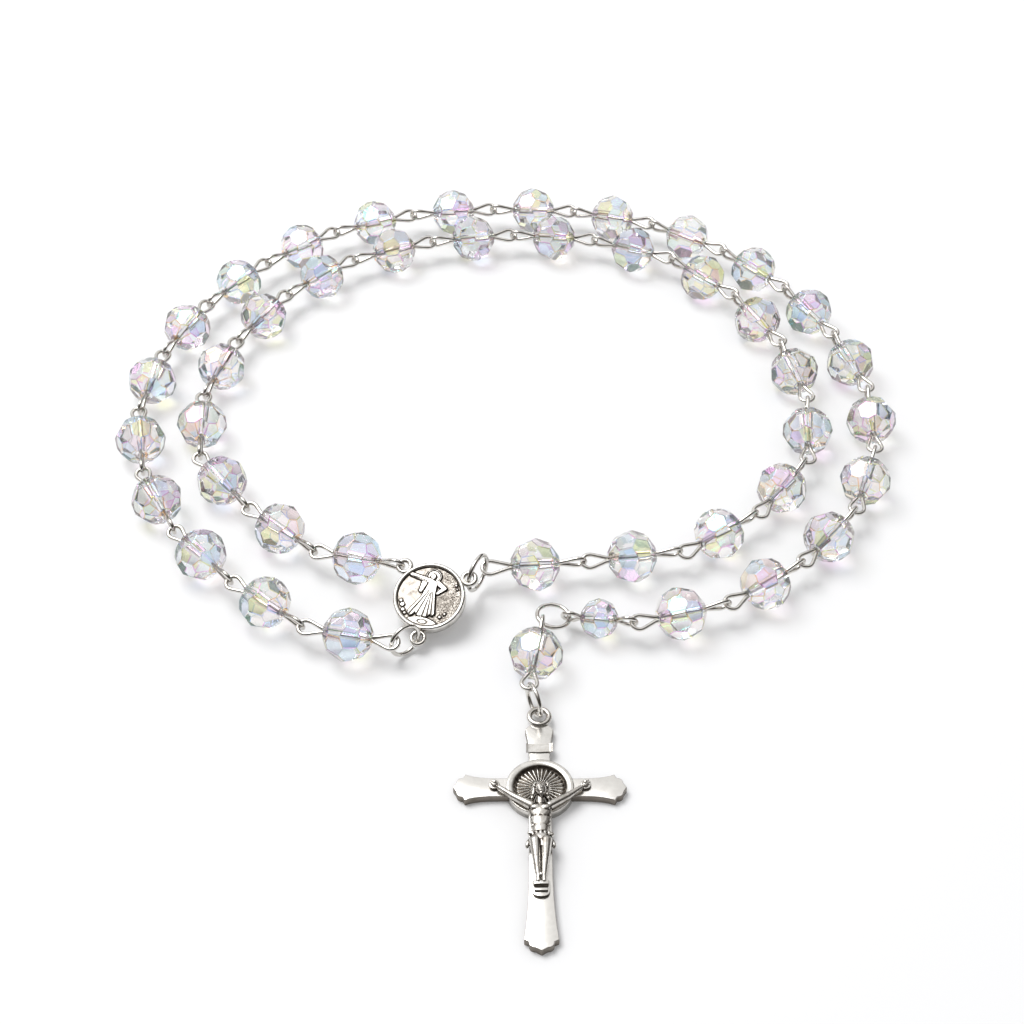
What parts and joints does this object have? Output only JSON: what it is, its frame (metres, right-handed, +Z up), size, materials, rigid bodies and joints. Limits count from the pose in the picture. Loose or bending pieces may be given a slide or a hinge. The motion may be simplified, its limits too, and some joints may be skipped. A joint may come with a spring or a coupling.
{
  "type": "rosary",
  "caption": "Faceted crystal rosary laid in a double loop: wire-linked glass beads, a round medal centrepiece and a crucifix pendant.",
  "frame": {"origin": "on the table, under the middle of the laid-out rosary", "axes": "+X right, +Y from the crucifix to the far end of the loop, +Z up from the table"},
  "size_m": [0.1299, 0.1652, 0.0086],
  "materials": {
    "crystal": "clear faceted glass with an iridescent coating",
    "silver_wire": "polished silver-plated wire",
    "cast_silver": "polished silver plate with dark antiquing in the recesses"
  },
  "bodies": {
    "centrepiece_medal": {"centrepiece_medal": "cast_silver"},
    "medal_left_jump_ring": {"medal_left_jump_ring": "silver_wire"},
    "medal_right_jump_ring": {"medal_right_jump_ring": "silver_wire"},
    "loop_link_01": {"loop_link_01": "crystal"},
    "loop_link_02": {"loop_link_02": "crystal"},
    "loop_link_03": {"loop_link_03": "crystal"},
    "loop_link_04": {"loop_link_04": "crystal"},
    "loop_link_05": {"loop_link_05": "crystal"},
    "loop_link_06": {"loop_link_06": "crystal"},
    "loop_link_07": {"loop_link_07": "crystal"},
    "loop_link_08": {"loop_link_08": "crystal"},
    "loop_link_09": {"loop_link_09": "crystal"},
    "loop_link_10": {"loop_link_10": "crystal"},
    "loop_link_11": {"loop_link_11": "crystal"},
    "loop_link_12": {"loop_link_12": "crystal"},
    "loop_link_13": {"loop_link_13": "crystal"},
    "loop_link_14": {"loop_link_14": "crystal"},
    "loop_link_15": {"loop_link_15": "crystal"},
    "loop_link_16": {"loop_link_16": "crystal"},
    "loop_link_17": {"loop_link_17": "crystal"},
    "loop_link_18": {"loop_link_18": "crystal"},
    "loop_link_19": {"loop_link_19": "crystal"},
    "tail_link_01": {"tail_link_01": "crystal"},
    "tail_link_02": {"tail_link_02": "crystal"},
    "tail_link_03": {"tail_link_03": "crystal"},
    "tail_link_04": {"tail_link_04": "crystal"},
    "tail_link_05": {"tail_link_05": "crystal"},
    "tail_link_06": {"tail_link_06": "crystal"},
    "tail_link_07": {"tail_link_07": "crystal"},
    "tail_link_08": {"tail_link_08": "crystal"},
    "tail_link_09": {"tail_link_09": "crystal"},
    "tail_link_10": {"tail_link_10": "crystal"},
    "tail_link_11": {"tail_link_11": "crystal"},
    "tail_link_12": {"tail_link_12": "crystal"},
    "tail_link_13": {"tail_link_13": "crystal"},
    "tail_link_14": {"tail_link_14": "crystal"},
    "tail_link_15": {"tail_link_15": "crystal"},
    "tail_link_16": {"tail_link_16": "crystal"},
    "tail_link_17": {"tail_link_17": "crystal"},
    "tail_link_18": {"tail_link_18": "crystal"},
    "tail_link_19": {"tail_link_19": "crystal"},
    "tail_link_20": {"tail_link_20": "crystal"},
    "tail_link_21": {"tail_link_21": "crystal"},
    "tail_link_22": {"tail_link_22": "crystal"},
    "small_bead_pin": {"small_bead_pin": "silver_wire"},
    "small_bead": {"small_bead": "crystal"},
    "pendant_jump_ring": {"pendant_jump_ring": "silver_wire"},
    "pendant_bead_pin": {"pendant_bead_pin": "silver_wire"},
    "pendant_bead": {"pendant_bead": "crystal"},
    "crucifix_jump_ring": {"crucifix_jump_ring": "silver_wire"},
    "cross": {"cross": "cast_silver", "corpus": "cast_silver", "title_plate": "cast_silver", "nails": "cast_silver"}
  },
  "joints": [
    {"name": "loop_link_01_lift", "type": "hinge", "parent": "centrepiece_medal", "child": "loop_link_01", "pos_m": [-0.01681, -0.01556, 0.00592], "axis": [-0.3341, -0.9425, 0], "range_deg": [-60, 60]},
    {"name": "medal_right_jump_ring_swing", "type": "hinge", "parent": "centrepiece_medal", "child": "medal_right_jump_ring", "pos_m": [-0.00581, -0.01858, 0.00589], "axis": [-0.8829, 0.4695, 0], "range_deg": [-45, 0]},
    {"name": "medal_left_jump_ring_swing", "type": "hinge", "parent": "centrepiece_medal", "child": "medal_left_jump_ring", "pos_m": [-0.01355, -0.02737, 0.00207], "axis": [0.5736, -0.8192, 0], "range_deg": [0, 45]},
    {"name": "tail_link_01_lift", "type": "hinge", "parent": "medal_left_jump_ring", "child": "tail_link_01", "pos_m": [-0.01733, -0.03002, 0.004], "axis": [-0.2275, -0.9738, 0], "range_deg": [-45, 25]},
    {"name": "loop_link_02_lift", "type": "hinge", "parent": "loop_link_01", "child": "loop_link_02", "pos_m": [-0.03073, -0.01024, 0.00387], "axis": [0.6395, 0.7688, 0], "range_deg": [-60, 60]},
    {"name": "loop_link_03_lift", "type": "hinge", "parent": "loop_link_02", "child": "loop_link_03", "pos_m": [-0.04218, -0.00042, 0.004], "axis": [-0.7932, -0.609, 0], "range_deg": [-60, 60]},
    {"name": "loop_link_04_lift", "type": "hinge", "parent": "loop_link_03", "child": "loop_link_04", "pos_m": [-0.0508, 0.01177, 0.004], "axis": [0.998, 0.0632, 0], "range_deg": [-60, 60]},
    {"name": "loop_link_05_lift", "type": "hinge", "parent": "loop_link_04", "child": "loop_link_05", "pos_m": [-0.0514, 0.0268, 0.004], "axis": [-0.9607, 0.2777, 0], "range_deg": [-60, 60]},
    {"name": "loop_link_06_lift", "type": "hinge", "parent": "loop_link_05", "child": "loop_link_06", "pos_m": [-0.04696, 0.0412, 0.004], "axis": [0.8615, -0.5078, 0], "range_deg": [-60, 60]},
    {"name": "loop_link_07_lift", "type": "hinge", "parent": "loop_link_06", "child": "loop_link_07", "pos_m": [-0.03905, 0.05401, 0.004], "axis": [-0.667, 0.7451, 0], "range_deg": [-60, 60]},
    {"name": "loop_link_08_lift", "type": "hinge", "parent": "loop_link_07", "child": "loop_link_08", "pos_m": [-0.0276, 0.06376, 0.004], "axis": [0.3659, -0.9307, 0], "range_deg": [-60, 60]},
    {"name": "loop_link_09_lift", "type": "hinge", "parent": "loop_link_08", "child": "loop_link_09", "pos_m": [-0.01349, 0.06905, 0.004], "axis": [-0.1383, 0.9904, 0], "range_deg": [-60, 60]},
    {"name": "loop_link_10_lift", "type": "hinge", "parent": "loop_link_09", "child": "loop_link_10", "pos_m": [0.00147, 0.0709, 0.004], "axis": [-0.0905, -0.9959, 0], "range_deg": [-60, 60]},
    {"name": "loop_link_11_lift", "type": "hinge", "parent": "loop_link_10", "child": "loop_link_11", "pos_m": [0.01645, 0.06925, 0.004], "axis": [0.3616, 0.9323, 0], "range_deg": [-60, 60]},
    {"name": "loop_link_12_lift", "type": "hinge", "parent": "loop_link_11", "child": "loop_link_12", "pos_m": [0.0303, 0.06343, 0.004], "axis": [-0.7001, -0.714, 0], "range_deg": [-60, 60]},
    {"name": "loop_link_13_lift", "type": "hinge", "parent": "loop_link_12", "child": "loop_link_13", "pos_m": [0.04084, 0.05268, 0.004], "axis": [0.8745, 0.4851, 0], "range_deg": [-60, 60]},
    {"name": "loop_link_14_lift", "type": "hinge", "parent": "loop_link_13", "child": "loop_link_14", "pos_m": [0.04789, 0.03937, 0.004], "axis": [-0.9749, -0.2227, 0], "range_deg": [-60, 60]},
    {"name": "loop_link_15_lift", "type": "hinge", "parent": "loop_link_14", "child": "loop_link_15", "pos_m": [0.05092, 0.02462, 0.004], "axis": [0.9961, -0.0887, 0], "range_deg": [-60, 60]},
    {"name": "loop_link_16_lift", "type": "hinge", "parent": "loop_link_15", "child": "loop_link_16", "pos_m": [0.04907, 0.00977, 0.004], "axis": [-0.8168, 0.5769, 0], "range_deg": [-60, 60]},
    {"name": "loop_link_17_lift", "type": "hinge", "parent": "loop_link_16", "child": "loop_link_17", "pos_m": [0.04011, -0.00232, 0.004], "axis": [0.5883, -0.8086, 0], "range_deg": [-60, 60]},
    {"name": "loop_link_18_lift", "type": "hinge", "parent": "loop_link_17", "child": "loop_link_18", "pos_m": [0.02771, -0.01075, 0.004], "axis": [-0.1511, 0.9885, 0], "range_deg": [-60, 60]},
    {"name": "loop_link_19_lift", "type": "hinge", "parent": "loop_link_18", "child": "loop_link_19", "pos_m": [0.01278, -0.01297, 0.004], "axis": [0.0927, -0.9957, 0], "range_deg": [-60, 60]},
    {"name": "tail_link_02_lift", "type": "hinge", "parent": "tail_link_01", "child": "tail_link_02", "pos_m": [-0.0316, -0.02623, 0.004], "axis": [0.6189, 0.7855, 0], "range_deg": [-60, 60]},
    {"name": "tail_link_03_lift", "type": "hinge", "parent": "tail_link_02", "child": "tail_link_03", "pos_m": [-0.04335, -0.01676, 0.004], "axis": [-0.734, -0.6792, 0], "range_deg": [-60, 60]},
    {"name": "tail_link_04_lift", "type": "hinge", "parent": "tail_link_03", "child": "tail_link_04", "pos_m": [-0.05336, -0.00551, 0.004], "axis": [0.8922, 0.4516, 0], "range_deg": [-60, 60]},
    {"name": "tail_link_05_lift", "type": "hinge", "parent": "tail_link_04", "child": "tail_link_05", "pos_m": [-0.05988, 0.00806, 0.004], "axis": [-0.9856, -0.1689, 0], "range_deg": [-60, 60]},
    {"name": "tail_link_06_lift", "type": "hinge", "parent": "tail_link_05", "child": "tail_link_06", "pos_m": [-0.0621, 0.02294, 0.004], "axis": [0.988, -0.1544, 0], "range_deg": [-60, 60]},
    {"name": "tail_link_07_lift", "type": "hinge", "parent": "tail_link_06", "child": "tail_link_07", "pos_m": [-0.05949, 0.03778, 0.004], "axis": [-0.9117, 0.4108, 0], "range_deg": [-60, 60]},
    {"name": "tail_link_08_lift", "type": "hinge", "parent": "tail_link_07", "child": "tail_link_08", "pos_m": [-0.05307, 0.05142, 0.004], "axis": [0.786, -0.6182, 0], "range_deg": [-60, 60]},
    {"name": "tail_link_09_lift", "type": "hinge", "parent": "tail_link_08", "child": "tail_link_09", "pos_m": [-0.04356, 0.06311, 0.004], "axis": [-0.6153, 0.7883, 0], "range_deg": [-60, 60]},
    {"name": "tail_link_10_lift", "type": "hinge", "parent": "tail_link_09", "child": "tail_link_10", "pos_m": [-0.0315, 0.07212, 0.004], "axis": [0.3546, -0.935, 0], "range_deg": [-60, 60]},
    {"name": "tail_link_11_lift", "type": "hinge", "parent": "tail_link_10", "child": "tail_link_11", "pos_m": [-0.01732, 0.07723, 0.004], "axis": [-0.1215, 0.9926, 0], "range_deg": [-60, 60]},
    {"name": "tail_link_12_lift", "type": "hinge", "parent": "tail_link_11", "child": "tail_link_12", "pos_m": [-0.00233, 0.0789, 0.004], "axis": [-0.0362, -0.9993, 0], "range_deg": [-60, 60]},
    {"name": "tail_link_13_lift", "type": "hinge", "parent": "tail_link_12", "child": "tail_link_13", "pos_m": [0.01273, 0.07813, 0.004], "axis": [0.2471, 0.969, 0], "range_deg": [-60, 60]},
    {"name": "tail_link_14_lift", "type": "hinge", "parent": "tail_link_13", "child": "tail_link_14", "pos_m": [0.02723, 0.0741, 0.004], "axis": [-0.5332, -0.846, 0], "range_deg": [-60, 60]},
    {"name": "tail_link_15_lift", "type": "hinge", "parent": "tail_link_14", "child": "tail_link_15", "pos_m": [0.03984, 0.06585, 0.004], "axis": [0.7221, 0.6918, 0], "range_deg": [-60, 60]},
    {"name": "tail_link_16_lift", "type": "hinge", "parent": "tail_link_15", "child": "tail_link_16", "pos_m": [0.05009, 0.0548, 0.004], "axis": [-0.8661, -0.4998, 0], "range_deg": [-60, 60]},
    {"name": "tail_link_17_lift", "type": "hinge", "parent": "tail_link_16", "child": "tail_link_17", "pos_m": [0.05741, 0.04162, 0.004], "axis": [0.9579, 0.2872, 0], "range_deg": [-60, 60]},
    {"name": "tail_link_18_lift", "type": "hinge", "parent": "tail_link_17", "child": "tail_link_18", "pos_m": [0.06142, 0.02712, 0.004], "axis": [-0.9996, 0.0269, 0], "range_deg": [-60, 60]},
    {"name": "tail_link_19_lift", "type": "hinge", "parent": "tail_link_18", "child": "tail_link_19", "pos_m": [0.06071, 0.01208, 0.004], "axis": [0.9496, -0.3135, 0], "range_deg": [-60, 60]},
    {"name": "tail_link_20_lift", "type": "hinge", "parent": "tail_link_19", "child": "tail_link_20", "pos_m": [0.05565, -0.00208, 0.004], "axis": [-0.7755, 0.6313, 0], "range_deg": [-60, 60]},
    {"name": "tail_link_21_lift", "type": "hinge", "parent": "tail_link_20", "child": "tail_link_21", "pos_m": [0.04593, -0.0136, 0.004], "axis": [0.5892, -0.808, 0], "range_deg": [-60, 60]},
    {"name": "tail_link_22_lift", "type": "hinge", "parent": "tail_link_21", "child": "tail_link_22", "pos_m": [0.03357, -0.02216, 0.004], "axis": [-0.2702, 0.9628, 0], "range_deg": [-60, 60]},
    {"name": "small_bead_pin_lift", "type": "hinge", "parent": "tail_link_22", "child": "small_bead_pin", "pos_m": [0.01902, -0.02572, 0.004], "axis": [-0.225, -0.9744, 0], "range_deg": [-60, 60]},
    {"name": "small_bead_spin", "type": "hinge", "parent": "small_bead_pin", "child": "small_bead", "pos_m": [0.01418, -0.0246, 0.00339], "axis": [-0.9671, 0.2233, -0.1219], "continuous": true},
    {"name": "pendant_jump_ring_swing", "type": "hinge", "parent": "small_bead_pin", "child": "pendant_jump_ring", "pos_m": [0.00959, -0.02354, 0.00281], "axis": [0, 0, 1], "range_deg": [-35, 20]},
    {"name": "pendant_swing", "type": "hinge", "parent": "pendant_jump_ring", "child": "pendant_bead_pin", "pos_m": [0.0054, -0.02565, 0.00354], "axis": [0, 0, 1], "range_deg": [-35, 5]},
    {"name": "pendant_bead_spin", "type": "hinge", "parent": "pendant_bead_pin", "child": "pendant_bead", "pos_m": [0.00437, -0.03215, 0.004], "axis": [-0.1561, -0.9853, 0.0698], "continuous": true},
    {"name": "crucifix_jump_ring_lift", "type": "hinge", "parent": "pendant_bead_pin", "child": "crucifix_jump_ring", "pos_m": [0.00334, -0.03865, 0.00446], "axis": [0.9272, 0.3746, 0], "range_deg": [-60, 0]},
    {"name": "crucifix_swing", "type": "hinge", "parent": "crucifix_jump_ring", "child": "cross", "pos_m": [0.00481, -0.04228, 0.00135], "axis": [1, 0, 0], "range_deg": [-5, 60]}
  ]
}
